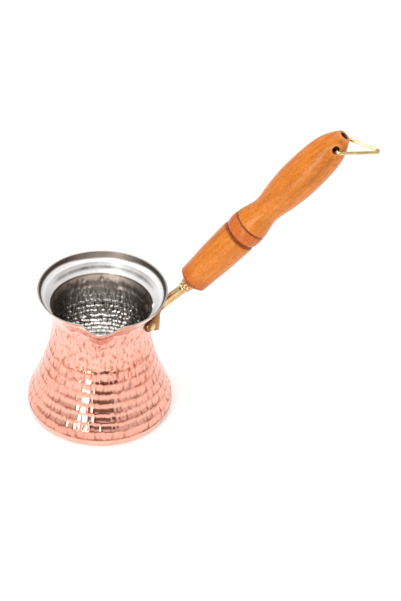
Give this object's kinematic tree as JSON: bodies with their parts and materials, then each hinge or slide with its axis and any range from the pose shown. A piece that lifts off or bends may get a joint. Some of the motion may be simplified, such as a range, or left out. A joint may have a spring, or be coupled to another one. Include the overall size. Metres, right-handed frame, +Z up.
{
  "type": "turkish coffee pot",
  "caption": "Flared copper coffee pot with a tin lining, a pinched pouring lip, a brass bracket, a leaning turned wooden handle and a swinging wire hanging loop.",
  "frame": {"origin": "centre of the pot's round base, on the surface it stands on", "axes": "+Z up along the pot's axis, the pouring lip points along -Y, the handle leans out along +X in the plane y = 0"},
  "size_m": [0.2024, 0.0919, 0.2066],
  "materials": {
    "copper": "planished in rows, polished",
    "tin": "wiped tin, hammered",
    "brass": "cast, tumbled",
    "brass_wire": "drawn",
    "steel": "plain",
    "wood": "stained and varnished"
  },
  "bodies": {
    "pot": {"copper_body": "copper", "tin_lining": "tin", "handle_bracket": "brass", "side_rivets": "brass", "centre_rivet": "brass", "handle_tang": "steel", "wooden_handle": "wood"},
    "loop": {"hanging_loop": "brass_wire"}
  },
  "joints": [
    {"name": "loop_swing", "type": "hinge", "parent": "pot", "child": "loop", "pos_m": [0.13256, 0, 0.19816], "axis": [0, -1, 0], "range_deg": [0, 118]}
  ]
}
